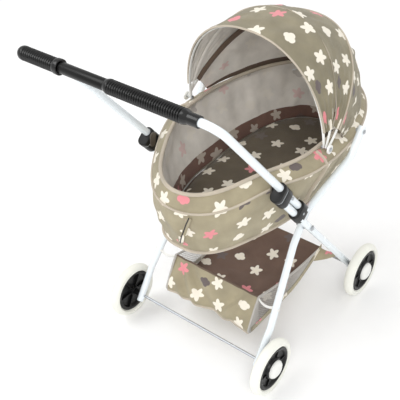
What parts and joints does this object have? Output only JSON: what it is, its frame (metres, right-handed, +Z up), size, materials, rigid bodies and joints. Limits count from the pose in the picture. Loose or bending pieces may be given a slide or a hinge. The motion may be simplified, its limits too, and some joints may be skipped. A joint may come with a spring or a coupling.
{
  "type": "doll stroller",
  "caption": "Folding doll stroller with an oval fabric bassinet, a hinged hood, a telescopic push bar, a sling basket and white tyres.",
  "frame": {"origin": "on the floor, under the middle of the whole stroller's box", "axes": "+Z up, +Y the way the stroller rolls, +X the pusher's right"},
  "size_m": [0.4368, 0.5432, 0.5985],
  "materials": {
    "white_steel": "white powder coat, satin",
    "zinc": "zinc plate",
    "black_plastic": "moulded, fine texture",
    "black_foam": "ribbed foam rubber",
    "black_sleeve": "smooth sleeve, satin",
    "white_tyre": "off-white, smooth",
    "white_plastic": "moulded, gloss",
    "print_fabric": "woven, printed with stars and clouds",
    "hood_fabric": "woven, printed with stars and clouds, grey inside",
    "brown_fabric": "woven, brown",
    "mesh_fabric": "open knitted mesh",
    "white_webbing": "narrow webbing",
    "bracket_plastic": "grey-brown moulding"
  },
  "bodies": {
    "front_frame": {"front_leg_left": "white_steel", "front_leg_right": "white_steel", "front_axle": "zinc", "leg_pivot_left": "zinc", "leg_pivot_right": "zinc", "upper_clamp_left": "black_plastic", "upper_clamp_right": "black_plastic", "lower_clamp_left": "black_plastic", "lower_clamp_right": "black_plastic", "rim_bracket_left": "bracket_plastic", "rim_bracket_right": "bracket_plastic", "spacer_front_left": "black_plastic", "spacer_front_right": "black_plastic"},
    "rear_frame": {"rear_leg_left": "white_steel", "rear_leg_right": "white_steel", "rear_axle": "zinc", "leg_top_rivet_left": "zinc", "leg_top_rivet_right": "zinc", "spacer_rear_left": "black_plastic", "spacer_rear_right": "black_plastic", "basket_sling": "brown_fabric", "basket_mesh_left": "mesh_fabric", "basket_mesh_right": "mesh_fabric", "basket_loop_left": "white_webbing", "basket_loop_right": "white_webbing"},
    "bassinet": {"bassinet_bottom": "print_fabric", "bassinet_wall_left": "print_fabric", "bassinet_wall_right": "print_fabric", "bassinet_collar": "print_fabric", "mattress": "brown_fabric", "rim_wire": "white_steel", "hood_pin_left": "zinc", "hood_pin_right": "zinc", "hood_mount_left": "white_plastic", "hood_mount_right": "white_plastic", "hood_back": "hood_fabric"},
    "handle": {"handle_tube": "white_steel", "handle_arm_left": "white_steel", "bar_sleeve": "black_sleeve", "grip_right": "black_foam", "grip_left": "black_foam"},
    "snap_button_left": {"snap_button_left": "zinc"},
    "snap_button_right": {"snap_button_right": "zinc"},
    "hood_rear": {"hood_rib_rear": "white_steel", "canopy_rear": "hood_fabric"},
    "hood_mid": {"hood_rib_mid": "white_steel", "canopy_front": "hood_fabric"},
    "hood_front": {"hood_rib_front": "white_steel"},
    "wheel_front_left": {"tyre_front_left": "white_tyre", "hub_front_left": "black_plastic", "cap_front_left": "white_plastic"},
    "wheel_front_right": {"tyre_front_right": "white_tyre", "hub_front_right": "black_plastic", "cap_front_right": "white_plastic"},
    "wheel_rear_left": {"tyre_rear_left": "white_tyre", "hub_rear_left": "black_plastic", "cap_rear_left": "white_plastic"},
    "wheel_rear_right": {"tyre_rear_right": "white_tyre", "hub_rear_right": "black_plastic", "cap_rear_right": "white_plastic"}
  },
  "joints": [
    {"name": "frame_fold", "type": "hinge", "parent": "front_frame", "child": "rear_frame", "pos_m": [0.0356, -0.023, 0.2606], "axis": [1, 0, 0], "range_deg": [0, 36]},
    {"name": "bassinet_swing", "type": "hinge", "parent": "front_frame", "child": "bassinet", "pos_m": [0.0356, -0.1124, 0.385], "axis": [1, 0, 0], "range_deg": [0, 26]},
    {"name": "handle_slide", "type": "slide", "parent": "front_frame", "child": "handle", "axis": [0, 0.6157, -0.788], "range_m": [0, 0.02]},
    {"name": "snap_left", "type": "slide", "parent": "handle", "child": "snap_button_left", "axis": [1, 0, 0], "range_m": [0, 0.0025], "stiffness_N_per_m": 800, "springref_m": -0.001},
    {"name": "snap_right", "type": "slide", "parent": "handle", "child": "snap_button_right", "axis": [-1, 0, 0], "range_m": [0, 0.0025], "stiffness_N_per_m": 800, "springref_m": -0.001},
    {"name": "hood_fold", "type": "hinge", "parent": "bassinet", "child": "hood_rear", "pos_m": [0.0356, 0.0106, 0.408], "axis": [1, 0, 0], "range_deg": [-18, 0], "deforming": ["canopy_rear", "canopy_front", "hood_back"]},
    {"name": "hood_mid_fold", "type": "hinge", "parent": "hood_rear", "child": "hood_mid", "pos_m": [0.0356, 0.0106, 0.408], "axis": [1, 0, 0], "range_deg": [-12.47, 0]},
    {"name": "hood_front_fold", "type": "hinge", "parent": "hood_mid", "child": "hood_front", "pos_m": [0.0356, 0.0106, 0.408], "axis": [1, 0, 0], "range_deg": [-11.77, 0]},
    {"name": "wheel_front_left_spin", "type": "hinge", "parent": "front_frame", "child": "wheel_front_left", "pos_m": [-0.1294, 0.1376, 0.055], "axis": [1, 0, 0], "continuous": true},
    {"name": "wheel_front_right_spin", "type": "hinge", "parent": "front_frame", "child": "wheel_front_right", "pos_m": [0.2006, 0.1376, 0.055], "axis": [1, 0, 0], "continuous": true},
    {"name": "wheel_rear_left_spin", "type": "hinge", "parent": "rear_frame", "child": "wheel_rear_left", "pos_m": [-0.1294, -0.1724, 0.055], "axis": [1, 0, 0], "continuous": true},
    {"name": "wheel_rear_right_spin", "type": "hinge", "parent": "rear_frame", "child": "wheel_rear_right", "pos_m": [0.2006, -0.1724, 0.055], "axis": [1, 0, 0], "continuous": true}
  ],
  "couplings": [
    {"joint": "bassinet_swing", "follows": "frame_fold", "ratio": 0.72},
    {"joint": "hood_mid_fold", "follows": "hood_fold", "ratio": 0.6923},
    {"joint": "hood_front_fold", "follows": "hood_fold", "ratio": 0.6538}
  ]
}
